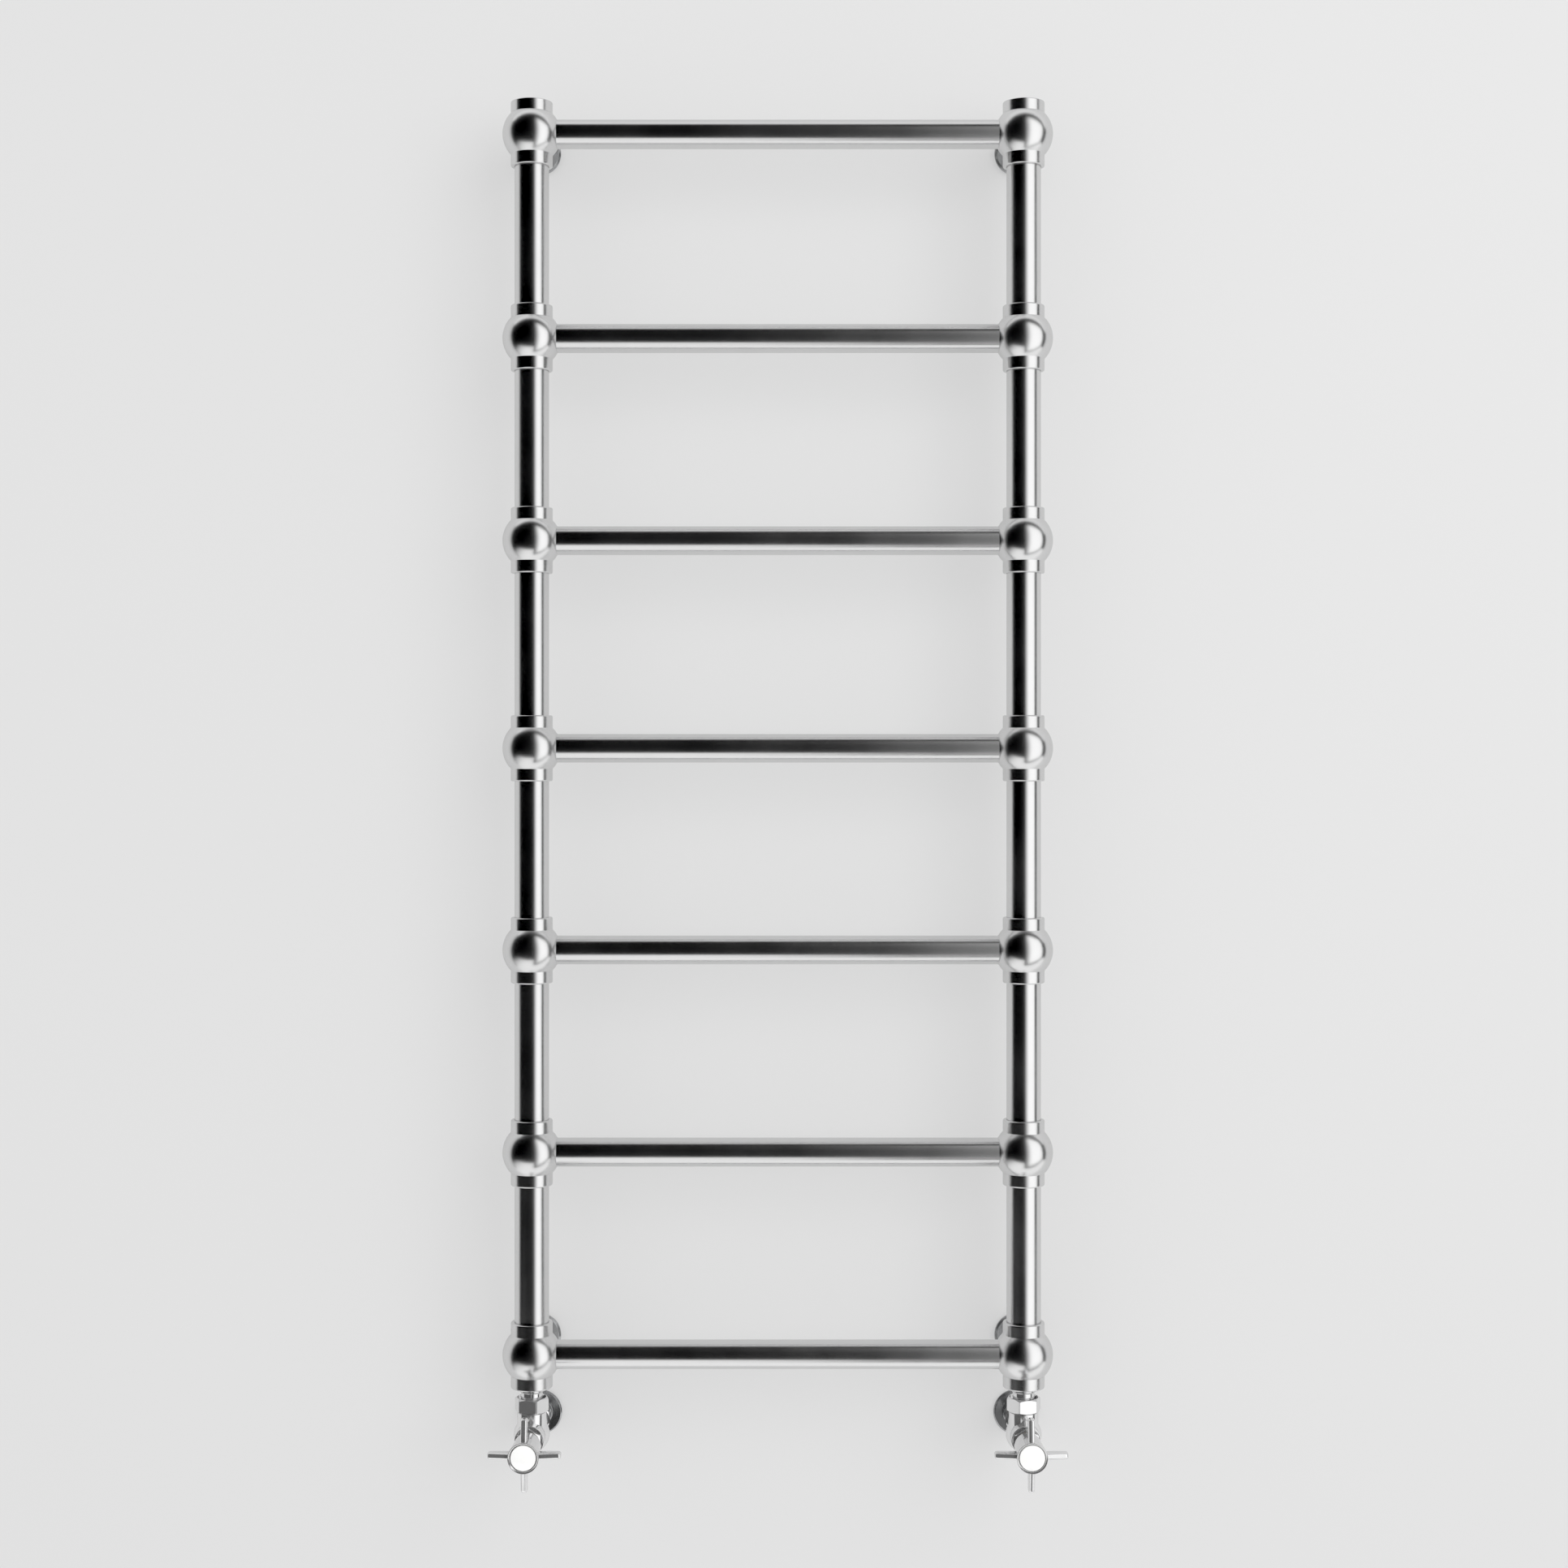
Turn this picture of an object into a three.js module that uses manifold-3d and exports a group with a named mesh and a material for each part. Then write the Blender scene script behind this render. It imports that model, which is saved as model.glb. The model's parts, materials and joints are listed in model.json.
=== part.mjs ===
// Wall-hung ladder towel radiator with two angled cross-head valves.
// Millimetres, +Z up. The wall is the plane y = 0 and the front faces -Y.
// The origin lies on the wall, midway between the posts, level with the lowest ball joints.
import * as THREE from 'three';
import { mergeVertices } from 'three/addons/utils/BufferGeometryUtils.js';
import Module from 'manifold-3d';

// Driving dimensions of the ladder.
const PIPE_CENTRES = 500;
const WALL_TO_POST = 80;
const RAIL_GAPS = [205.5, 205.5, 205, 211, 205.5, 207.5];
const GAP = 0.3;
const SIDES = { left: -1, right: 1 };

const POST = { radius: 17.4, wall: 1.5 };
const RAIL = { radius: 14.5, wall: 1.5 };
const JOINT = { ball: 29.7, collar: 21.15, half: 33.4, topHalf: 32.1, stop: 16, waterway: 14, railStop: 12 };
const PORT_RADIUS = 10.8;

const BRACKET = { plate: 22.5, face: 20.4, rim: 2.6, thickness: 4.6, stem: 9, spigot: 6, spigotLength: 10 };
const PLUG = { hexSocket: 10, socketDepth: 6, recess: 0.5 };
const BLEED = { screw: 3.2, clearance: 0.4, seat: 22, vent: 1.2, slot: 0.8 };

// Driving dimensions of each valve. Heights are above the valve axis, reaches are forward of the post axis.
const VALVE_DROP = 81;
const BODY = { ball: 18.2, boss: 14.85, bossTop: 23.1, thread: 13.2, threadTop: 28.7, outlet: 7 };
const FRONT = { barrel: 15, reach: 25.5, chamber: 10, seat: -6 };
const REAR = { barrel: 12.6, reach: -52.4, thread: 11.3, threadReach: -63, inlet: 6, socket: 7.8, socketStart: -48 };
const TAIL = { flange: 12.8, flangeBottom: 44, neck: 11, lip: 13.2, lipBottom: 29, lipTop: 33.7, bore: 7.5, top: 62 };
const UNION_NUT = { flats: 30.8, bottom: 23.4, top: 38, roof: 34, turn: 19 };
const BONNET = { insert: 9.6, inner: 13, flats: 24, hexFront: 33, neck: 8, front: 40, bore: 4.5 };
const SPINDLE = { radius: 4, tip: 3.5, inner: 4, step: 12.5, front: 60.2 };
const DISC = { radius: 8.6, back: -5.7, front: -2.7, sleeve: 6.4, sleeveFront: 8, bore: 4, boreEnd: -1 };
const HUB = { rear: 13.5, front: 15.4, back: 41, face: 83, skirt: 11, skirtEnd: 50, socketEnd: 60.5 };
const RECESS = { radius: 12.9, floor: 80.5 };
const ARM = { halfSpan: 36.4, width: 6.3, back: 66, front: 79.9, tip: 76.4, flat: 8, corner: 3 };
const INSERT = { radius: 12.6, edge: 82.6, dome: 84 };
const PIPE_NUT = { flats: 24, front: -52.8, back: -69.7, roof: -66, bore: 11.7, hole: 7.9 };
const ROSE = { flange: 23.5, edge: 1.4, bevel: 1.4, collar: 13.3, depth: 10, bore: 8 };

// Facets round each turned piece.
const TUBE_SIDES = 16;
const JOINT_SIDES = 16;
const VALVE_SIDES = 20;
const SMALL_SIDES = 12;
const BALL_STEPS = 4;

const wasm = await Module();
wasm.setup();

// Turns a three.js geometry into a solid with shared vertices and no collapsed triangles.
function solidFrom(geometry) {
  geometry.deleteAttribute('normal');
  geometry.deleteAttribute('uv');
  const welded = mergeVertices(geometry, 1e-3);
  const triVerts = [];
  for (let i = 0; i < welded.index.count; i += 3) {
    const [a, b, c] = [0, 1, 2].map((k) => welded.index.getX(i + k));
    if (a !== b && b !== c && c !== a) triVerts.push(a, b, c);
  }
  const mesh = new wasm.Mesh({
    numProp: 3,
    vertProperties: welded.attributes.position.array,
    triVerts: new Uint32Array(triVerts),
  });
  return new wasm.Manifold(mesh);
}

function geometryFrom(solid) {
  const { vertProperties, triVerts } = solid.getMesh();
  const geometry = new THREE.BufferGeometry();
  geometry.setAttribute('position', new THREE.BufferAttribute(vertProperties, 3));
  geometry.setIndex(new THREE.BufferAttribute(triVerts, 1));
  return geometry;
}

// Profiles are closed loops of [radius, distance along the axis], anticlockwise.
function lathe(profile, sides) {
  const points = [...profile, profile[0]].map(([radius, along]) => new THREE.Vector2(radius, along));
  return new THREE.LatheGeometry(points, sides);
}
const turnedUp = (profile, sides) => solidFrom(lathe(profile, sides).rotateX(Math.PI / 2));
const turnedForward = (profile, sides) => solidFrom(lathe(profile, sides).rotateX(Math.PI));
const turnedAcross = (profile, sides) => solidFrom(lathe(profile, sides).rotateZ(-Math.PI / 2));

const rod = (radius, from, to) => [[0, from], [radius, from], [radius, to], [0, to]];
const ring = (outer, inner, from, to) => [[outer, from], [outer, to], [inner, to], [inner, from]];
const hexRadius = (flats) => flats / 2 / Math.cos(Math.PI / 6);

// --- Ladder ---

const railHeights = RAIL_GAPS.reduce((heights, gap) => [...heights, heights.at(-1) + gap], [0]);
const topRail = railHeights.length - 1;

// A ball with a collar above and below, bored through for the water, with one socket for the rail.
function ballJoint(side, isBottom, isTop) {
  const shoulder = Math.acos(JOINT.collar / JOINT.ball);
  const ball = [];
  for (let step = 0; step <= BALL_STEPS; step++) {
    const angle = shoulder * ((2 * step) / BALL_STEPS - 1);
    ball.push([JOINT.ball * Math.cos(angle), JOINT.ball * Math.sin(angle)]);
  }
  const top = isTop ? JOINT.topHalf : JOINT.half;
  const lowerBore = isBottom ? PORT_RADIUS : POST.radius + GAP;
  const upperBore = isTop ? PORT_RADIUS : POST.radius + GAP;
  const body = turnedUp([
    [JOINT.collar, -JOINT.half],
    ...ball,
    [JOINT.collar, top],
    [upperBore, top],
    [upperBore, JOINT.stop],
    [JOINT.waterway, JOINT.stop],
    [JOINT.waterway, -JOINT.stop],
    [lowerBore, -JOINT.stop],
    [lowerBore, -JOINT.half],
  ], JOINT_SIDES);
  const railSocket = turnedAcross(rod(RAIL.radius + GAP, JOINT.railStop, JOINT.ball + 1), TUBE_SIDES);
  const cut = side > 0 ? railSocket.rotate([0, 0, 180]) : railSocket;
  if (!isBottom && !isTop) return geometryFrom(body.subtract(cut));
  const spigotEnd = WALL_TO_POST - JOINT.ball - GAP + BRACKET.spigotLength;
  const spigotSocket = rod(BRACKET.spigot + GAP, 0, spigotEnd - WALL_TO_POST + JOINT.ball + 2 * GAP);
  const bracketCut = turnedForward(spigotSocket, SMALL_SIDES).translate([0, JOINT.ball, 0]);
  return geometryFrom(body.subtract(cut).subtract(bracketCut));
}

function post(gap) {
  const half = gap / 2 - JOINT.stop - GAP;
  return geometryFrom(turnedUp(ring(POST.radius, POST.radius - POST.wall, -half, half), TUBE_SIDES));
}

function rail() {
  const half = PIPE_CENTRES / 2 - JOINT.railStop - GAP;
  return geometryFrom(turnedAcross(ring(RAIL.radius, RAIL.radius - RAIL.wall, -half, half), TUBE_SIDES));
}

// A round wall plate with its stem, whose spigot screws into the back of a ball.
function wallBracket() {
  const stemEnd = WALL_TO_POST - JOINT.ball - GAP;
  return geometryFrom(turnedForward([
    [0, 0],
    [BRACKET.plate, 0],
    [BRACKET.plate, BRACKET.rim],
    [BRACKET.face, BRACKET.thickness],
    [BRACKET.stem, BRACKET.thickness],
    [BRACKET.stem, stemEnd],
    [BRACKET.spigot, stemEnd],
    [BRACKET.spigot, stemEnd + BRACKET.spigotLength],
    [0, stemEnd + BRACKET.spigotLength],
  ], VALVE_SIDES));
}

const plugSpan = { from: JOINT.stop + GAP, to: JOINT.topHalf - PLUG.recess };

function blankingPlug() {
  const body = turnedUp(rod(PORT_RADIUS - GAP, plugSpan.from, plugSpan.to), TUBE_SIDES);
  const socket = rod(hexRadius(PLUG.hexSocket), plugSpan.to - PLUG.socketDepth, plugSpan.to + 1);
  return geometryFrom(body.subtract(turnedUp(socket, 6)));
}

function airVentPlug() {
  const bore = BLEED.screw + BLEED.clearance;
  return geometryFrom(turnedUp([
    [PORT_RADIUS - GAP, plugSpan.from],
    [PORT_RADIUS - GAP, plugSpan.to],
    [bore, plugSpan.to],
    [bore, BLEED.seat],
    [BLEED.vent, BLEED.seat],
    [BLEED.vent, plugSpan.from],
  ], TUBE_SIDES));
}

function bleedScrew() {
  const head = plugSpan.to - 2 * PLUG.recess;
  const screw = turnedUp(rod(BLEED.screw, BLEED.seat + BLEED.clearance, head), SMALL_SIDES);
  const slot = new THREE.BoxGeometry(3 * BLEED.screw, BLEED.slot, 3).translate(0, 0, head);
  return geometryFrom(screw.subtract(solidFrom(slot)));
}

// --- Valve, about its own axis: local -Y points forward and local +Z up to the radiator ---

function valveBody() {
  const ball = solidFrom(new THREE.SphereGeometry(BODY.ball, VALVE_SIDES, VALVE_SIDES / 2).rotateX(Math.PI / 2));
  const boss = turnedUp(rod(BODY.boss, 0, BODY.bossTop), VALVE_SIDES);
  const bossThread = turnedUp(rod(BODY.thread, 1, BODY.threadTop), VALVE_SIDES);
  const frontBarrel = turnedForward(rod(FRONT.barrel, 0, FRONT.reach), VALVE_SIDES);
  const rearBarrel = turnedForward(rod(REAR.barrel, REAR.reach, 0), VALVE_SIDES);
  const rearThread = turnedForward(rod(REAR.thread, REAR.threadReach, 1), VALVE_SIDES);
  const outside = [boss, bossThread, frontBarrel, rearBarrel, rearThread].reduce((sum, s) => sum.add(s), ball);
  const chamber = turnedForward(rod(FRONT.chamber, FRONT.seat, FRONT.reach + 1), VALVE_SIDES);
  const inlet = turnedForward(rod(REAR.inlet, REAR.threadReach - 1, 0), SMALL_SIDES);
  const pipeSocket = turnedForward(rod(REAR.socket, REAR.threadReach - 1, REAR.socketStart), TUBE_SIDES);
  const outlet = turnedUp(rod(BODY.outlet, 0, BODY.threadTop + 1), SMALL_SIDES);
  return geometryFrom([chamber, inlet, pipeSocket, outlet].reduce((rest, s) => rest.subtract(s), outside));
}

// The tail screws into the radiator, and its lip is held inside the union nut.
function radiatorTail() {
  const flangeTop = VALVE_DROP - JOINT.half - GAP;
  return geometryFrom(turnedUp([
    [TAIL.lip, TAIL.lipBottom],
    [TAIL.lip, TAIL.lipTop],
    [TAIL.neck, TAIL.lipTop],
    [TAIL.neck, TAIL.flangeBottom],
    [TAIL.flange, TAIL.flangeBottom],
    [TAIL.flange, flangeTop],
    [PORT_RADIUS - GAP, flangeTop],
    [PORT_RADIUS - GAP, TAIL.top],
    [TAIL.bore, TAIL.top],
    [TAIL.bore, TAIL.lipBottom],
  ], TUBE_SIDES));
}

function unionNut(side) {
  const hex = turnedUp(rod(hexRadius(UNION_NUT.flats), UNION_NUT.bottom, UNION_NUT.top), 6);
  const thread = turnedUp(rod(BODY.thread + 2 * GAP, UNION_NUT.bottom - 1, UNION_NUT.roof), VALVE_SIDES);
  const hole = turnedUp(rod(TAIL.neck + 2 * GAP, UNION_NUT.bottom, UNION_NUT.top + 1), TUBE_SIDES);
  return geometryFrom(hex.rotate([0, 0, -side * UNION_NUT.turn]).subtract(thread).subtract(hole));
}

function valveBonnet() {
  const insert = turnedForward(rod(BONNET.insert, BONNET.inner, BONNET.hexFront - 1), VALVE_SIDES);
  const hex = turnedForward(rod(hexRadius(BONNET.flats), FRONT.reach + GAP, BONNET.hexFront), 6);
  const neck = turnedForward(rod(BONNET.neck, BONNET.hexFront - 2, BONNET.front), TUBE_SIDES);
  const bore = turnedForward(rod(BONNET.bore, BONNET.inner - 1, BONNET.front + 1), SMALL_SIDES);
  return geometryFrom(insert.add(hex).add(neck).subtract(bore));
}

function valveSpindle() {
  return geometryFrom(turnedForward([
    [0, SPINDLE.inner],
    [SPINDLE.tip, SPINDLE.inner],
    [SPINDLE.tip, SPINDLE.step],
    [SPINDLE.radius, SPINDLE.step],
    [SPINDLE.radius, SPINDLE.front],
    [0, SPINDLE.front],
  ], SMALL_SIDES));
}

// The sealing disc and its sleeve, which travels on the spindle's thread.
function valvePlug() {
  return geometryFrom(turnedForward([
    [0, DISC.back],
    [DISC.radius, DISC.back],
    [DISC.radius, DISC.front],
    [DISC.sleeve, DISC.front],
    [DISC.sleeve, DISC.sleeveFront],
    [DISC.bore, DISC.sleeveFront],
    [DISC.bore, DISC.boreEnd],
    [0, DISC.boreEnd],
  ], TUBE_SIDES));
}

// One bar through the hub makes two opposite arms. Its front slopes back from the hub to the tips.
function armBar() {
  const { halfSpan: end, corner, width, flat } = ARM;
  const depth = ARM.front - ARM.back;
  const drop = ARM.front - ARM.tip;
  const outline = new THREE.Shape();
  outline.moveTo(-flat, 0);
  outline.lineTo(flat, 0);
  outline.lineTo(end - corner, drop);
  outline.absarc(end - corner, drop + corner, corner, -Math.PI / 2, 0);
  outline.absarc(end - corner, depth - corner, corner, 0, Math.PI / 2);
  outline.lineTo(corner - end, depth);
  outline.absarc(corner - end, depth - corner, corner, Math.PI / 2, Math.PI);
  outline.absarc(corner - end, drop + corner, corner, Math.PI, 1.5 * Math.PI);
  const bar = new THREE.ExtrudeGeometry(outline, { depth: width, bevelEnabled: false, curveSegments: 3 });
  return solidFrom(bar.translate(0, -ARM.front, -width / 2));
}

function crossHandle() {
  const hub = turnedForward([
    [HUB.rear, HUB.back],
    [HUB.front, HUB.face - 1],
    [HUB.front - 0.4, HUB.face],
    [RECESS.radius, HUB.face],
    [RECESS.radius, RECESS.floor],
    [0, RECESS.floor],
    [0, HUB.socketEnd],
    [SPINDLE.radius + GAP, HUB.socketEnd],
    [SPINDLE.radius + GAP, HUB.skirtEnd],
    [HUB.skirt, HUB.skirtEnd],
    [HUB.skirt, HUB.back],
  ], VALVE_SIDES);
  const across = armBar();
  const upright = armBar().rotate([0, 90, 0]);
  return geometryFrom(hub.add(across).add(upright));
}

function handleInsert() {
  const profile = [[0, RECESS.floor + GAP], [INSERT.radius, RECESS.floor + GAP], [INSERT.radius, INSERT.edge]];
  const DOME_STEPS = 3;
  for (let step = 1; step <= DOME_STEPS; step++) {
    const angle = (step / DOME_STEPS) * (Math.PI / 2);
    const rise = (INSERT.dome - INSERT.edge) * Math.sin(angle);
    profile.push([INSERT.radius * Math.cos(angle), INSERT.edge + rise]);
  }
  return geometryFrom(turnedForward(profile, VALVE_SIDES));
}

function compressionNut() {
  const hex = turnedForward(rod(hexRadius(PIPE_NUT.flats), PIPE_NUT.back, PIPE_NUT.front), 6);
  const thread = turnedForward(rod(PIPE_NUT.bore, PIPE_NUT.roof, PIPE_NUT.front + 1), TUBE_SIDES);
  const hole = turnedForward(rod(PIPE_NUT.hole, PIPE_NUT.back - 1, PIPE_NUT.front), TUBE_SIDES);
  return geometryFrom(hex.subtract(thread).subtract(hole));
}

// The rose is a flat bevelled disc on the wall, with a collar round the supply pipe.
function pipeRose() {
  const face = ROSE.edge + ROSE.bevel;
  return geometryFrom(turnedForward([
    [ROSE.flange, 0],
    [ROSE.flange, ROSE.edge],
    [ROSE.flange - ROSE.bevel, face],
    [ROSE.collar, face],
    [ROSE.collar, ROSE.depth],
    [ROSE.bore, ROSE.depth],
    [ROSE.bore, 0],
  ], VALVE_SIDES));
}

// --- Assembly ---

const radiatorChrome = () => new THREE.MeshStandardMaterial({ color: 0xc9cbcd, roughness: 0.14, metalness: 1 });
const valveChrome = () => new THREE.MeshStandardMaterial({ color: 0xd2d4d6, roughness: 0.05, metalness: 1 });
const brass = () => new THREE.MeshStandardMaterial({ color: 0xb08d4f, roughness: 0.35, metalness: 1 });
const ceramic = () => new THREE.MeshStandardMaterial({ color: 0xf4f3ef, roughness: 0.12, metalness: 0 });

function piece(group, name, geometry, material, position = [0, 0, 0]) {
  const mesh = new THREE.Mesh(geometry, material);
  mesh.name = name;
  mesh.position.set(...position);
  group.add(mesh);
}

function postColumn(sideName) {
  const side = SIDES[sideName];
  const column = new THREE.Group();
  column.position.set((side * PIPE_CENTRES) / 2, -WALL_TO_POST, 0);
  railHeights.forEach((height, i) => {
    const geometry = ballJoint(side, i === 0, i === topRail);
    piece(column, `ball_joint_${sideName}_${i + 1}`, geometry, radiatorChrome(), [0, 0, height]);
  });
  RAIL_GAPS.forEach((gap, i) => {
    piece(column, `post_${sideName}_${i + 1}`, post(gap), radiatorChrome(), [0, 0, railHeights[i] + gap / 2]);
  });
  const onWall = (height) => [0, WALL_TO_POST, height];
  piece(column, `wall_bracket_bottom_${sideName}`, wallBracket(), valveChrome(), onWall(0));
  piece(column, `wall_bracket_top_${sideName}`, wallBracket(), valveChrome(), onWall(railHeights[topRail]));
  return column;
}

function valve(sideName) {
  const side = SIDES[sideName];
  const group = new THREE.Group();
  group.position.set((side * PIPE_CENTRES) / 2, -WALL_TO_POST, -VALVE_DROP);
  piece(group, `valve_body_${sideName}`, valveBody(), valveChrome());
  piece(group, `radiator_tail_${sideName}`, radiatorTail(), valveChrome());
  piece(group, `union_nut_${sideName}`, unionNut(side), valveChrome());
  piece(group, `valve_bonnet_${sideName}`, valveBonnet(), valveChrome());
  piece(group, `valve_spindle_${sideName}`, valveSpindle(), brass());
  piece(group, `valve_plug_${sideName}`, valvePlug(), brass());
  piece(group, `cross_handle_${sideName}`, crossHandle(), valveChrome());
  piece(group, `handle_insert_${sideName}`, handleInsert(), ceramic());
  piece(group, `compression_nut_${sideName}`, compressionNut(), valveChrome());
  piece(group, `pipe_rose_${sideName}`, pipeRose(), valveChrome(), [0, WALL_TO_POST, 0]);
  return group;
}

const radiator = new THREE.Group();
for (const sideName of Object.keys(SIDES)) radiator.add(postColumn(sideName), valve(sideName));
railHeights.forEach((height, i) => {
  piece(radiator, `rail_${i + 1}`, rail(), radiatorChrome(), [0, -WALL_TO_POST, height]);
});
const topPort = (side) => [(side * PIPE_CENTRES) / 2, -WALL_TO_POST, railHeights[topRail]];
piece(radiator, 'air_vent_plug', airVentPlug(), valveChrome(), topPort(SIDES.left));
piece(radiator, 'bleed_screw', bleedScrew(), brass(), topPort(SIDES.left));
piece(radiator, 'blanking_plug', blankingPlug(), valveChrome(), topPort(SIDES.right));

export default radiator;
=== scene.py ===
import json
import math

import bmesh
import bpy
from mathutils import Matrix, Vector


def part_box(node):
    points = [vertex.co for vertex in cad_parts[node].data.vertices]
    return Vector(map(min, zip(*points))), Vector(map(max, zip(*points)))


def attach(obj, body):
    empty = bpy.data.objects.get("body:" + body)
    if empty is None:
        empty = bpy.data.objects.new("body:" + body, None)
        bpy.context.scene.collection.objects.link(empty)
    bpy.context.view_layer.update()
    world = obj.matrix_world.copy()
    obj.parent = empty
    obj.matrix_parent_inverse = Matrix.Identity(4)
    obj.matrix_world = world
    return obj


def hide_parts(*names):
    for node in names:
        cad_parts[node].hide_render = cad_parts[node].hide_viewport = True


# Looks of a wall-hung ladder towel radiator with two angled cross-head valves.
# Shapes are drawn in millimetres about their own axis, and finish_mesh scales them to the frame's metres.

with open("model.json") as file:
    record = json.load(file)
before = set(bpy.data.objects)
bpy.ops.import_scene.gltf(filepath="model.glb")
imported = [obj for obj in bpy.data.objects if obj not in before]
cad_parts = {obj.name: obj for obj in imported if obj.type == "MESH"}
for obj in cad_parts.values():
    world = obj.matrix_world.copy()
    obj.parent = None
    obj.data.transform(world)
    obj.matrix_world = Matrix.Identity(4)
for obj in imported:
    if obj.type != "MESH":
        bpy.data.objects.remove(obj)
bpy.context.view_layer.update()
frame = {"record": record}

MM = 0.001
SIDES = {"left": -1, "right": 1}
RAIL_COUNT = 7

# Fineness of the round surfaces.
SEGMENTS = 96
ARC_STEP = math.radians(7.5)
SHARP_ANGLE = math.radians(24)
SUPPORT = 0.12
WELD = 1e-4
POLE = 1e-6

# FIT parts pieces that sit in each other, and a cutting solid runs OVERRUN past the surface it opens.
FIT = 0.06
OVERRUN = 5

# Ladder.
POST = {"radius": 17.4, "wall": 1.5}
RAIL = {"radius": 14.5, "wall": 1.5}
JOINT = {"ball": 29.7, "collar": 21.15, "half": 33.4, "top_half": 32.1, "stop": 16, "waterway": 14,
         "rail_stop": 12, "end_round": 1.7, "top_round": 0.9}
PORT_RADIUS = 10.8
BRACKET = {"plate": 22.5, "face": 20.4, "rim": 2.6, "thickness": 4.6, "stem": 9, "spigot": 6,
           "spigot_length": 10}
PLUG = {"hex_socket": 10, "socket_depth": 6, "socket_corner": 0.3, "recess": 0.5}
BLEED = {"screw": 3.2, "clearance": 0.4, "seat": 22, "vent": 1.2, "slot": 0.8, "slot_depth": 1.5}

# Valve. Heights are above the valve axis, reaches are forward of the post axis.
BODY = {"ball": 18.2, "boss": 14.85, "boss_top": 23.1, "thread": 13.2, "thread_top": 28.7, "outlet": 7}
FRONT = {"barrel": 15, "reach": 25.5, "chamber": 10, "seat": -6, "recess": 13.6, "recess_depth": 1.4}
REAR = {"barrel": 12.6, "reach": -52.4, "thread": 11.3, "thread_reach": -63, "inlet": 6, "socket": 7.8,
        "socket_start": -48}
TAIL = {"flange": 12.8, "flange_bottom": 44, "neck": 11, "lip": 13.2, "lip_bottom": 29, "lip_top": 33.7,
        "bore": 7.5, "top": 62}
UNION_NUT = {"flats": 30.8, "bottom": 23.4, "top": 38, "roof": 34, "turn": 19}
BONNET = {"insert": 9.6, "inner": 13, "flats": 24, "hex_back": 25.8, "hex_front": 33, "neck": 8,
          "front": 40, "bore": 4.5}
SPINDLE = {"radius": 4, "tip": 3.5, "inner": 4, "step": 12.5, "front": 60.2}
DISC = {"radius": 8.6, "back": -5.7, "front": -2.7, "sleeve": 6.4, "sleeve_front": 8, "bore": 4,
        "bore_end": -1}
HUB = {"rear": 13.5, "front": 15.4, "back": 41, "face": 83, "skirt": 11, "skirt_end": 50,
       "socket_end": 60.5}
RECESS = {"radius": 13.3, "floor": 80.5, "lead_in": 1.5}
ARM = {"half_span": 36.4, "width": 6.3, "back": 66, "front": 79.9, "tip": 76.4, "flat": 8, "corner": 3,
       "edge_round": 2.2}
INSERT = {"radius": 12.5, "edge": 82.5, "dome": 84, "rim": 0.9, "rim_drop": 0.2, "rim_round": 0.5}
PIPE_NUT = {"flats": 24, "front": -52.8, "back": -69.7, "roof": -66, "bore": 11.7, "hole": 7.9}
ROSE = {"flange": 23.5, "edge": 1.4, "bevel": 1.4, "collar": 13.3, "depth": 10, "bore": 8}
GAP = 0.3

# Hexagons: the rounding of their corners, and the chamfer's land as a share of the width across flats.
HEXAGON = {"corner": 0.45, "land": 0.955, "chamfer": math.radians(30)}

# Marks on the materials. Each piece's pattern is shifted, and the scratches run at a tilt.
PIECE_SHIFT = (3.1, 1.7, 2.3)
SCRATCH_TILT = (0.4, 0.7, 0.2)
NOISE_RANGE = (0.35, 0.65)
CHROME_EDGE = 0.88

# Stage, in metres. A card's glow fades over the given shares of its width and height, at the low and high
# end of u and then of v.
STAGE = {"half": 7.0, "top": 5.5, "back": 0.002, "floor_below": 2.3}
FLOOR_GLOW = {"front": -4.5, "lift": 0.01, "strength": 1.08, "fade": (0.42, 0, 0.25, 0)}
SOFT_BOX = {"left": 0.18, "right": 6.8, "y": -1.72, "top": 4.3, "strength": 1.32,
            "fade": (0.14, 0.38, 0.2, 0.25)}
LEFT_GLOW = {"x": -2.65, "front": -0.5, "top": 3.3, "strength": 0.66, "fade": (0.4, 0, 0, 0)}
CEILING_GLOW = {"front": -0.8, "height": 3.0, "strength": 1.0, "fade": (0, 0, 0.5, 0)}
WALL_TONE = 0.36
WALL_FILL = 0.375
FLOOR_TONE = 0.8
LAMP_TARGET = (0, 0, 0.6)
KEY_LIGHT = {"location": (1.9, -2.9, 1.7), "size": (2.6, 3.0), "power": 46}
FILL_LIGHT = {"location": (-2.8, -3.0, 1.0), "size": (2.4, 2.4), "power": 8}

# World: grey levels for the camera, for matt surfaces, and in the chrome towards the room and the wall.
SKY = {"camera": 0.8, "ambient": 0.9, "front": 0.002, "back": 0.6, "blend": (-0.05, 0.3)}

CAMERA = {"sensor": 36, "lens": 53.66, "shift": (0.004, -0.025), "location": (0, -2.456, 0.6195)}
BLACK_POINT = 0.028

FORWARD = Matrix.Rotation(math.radians(90), 4, "X")
ACROSS = Matrix.Rotation(math.radians(90), 4, "Y")


# --- Places read from the frame ---

def middle(node):
    lo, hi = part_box(node)
    return (lo + hi) / 2


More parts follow.
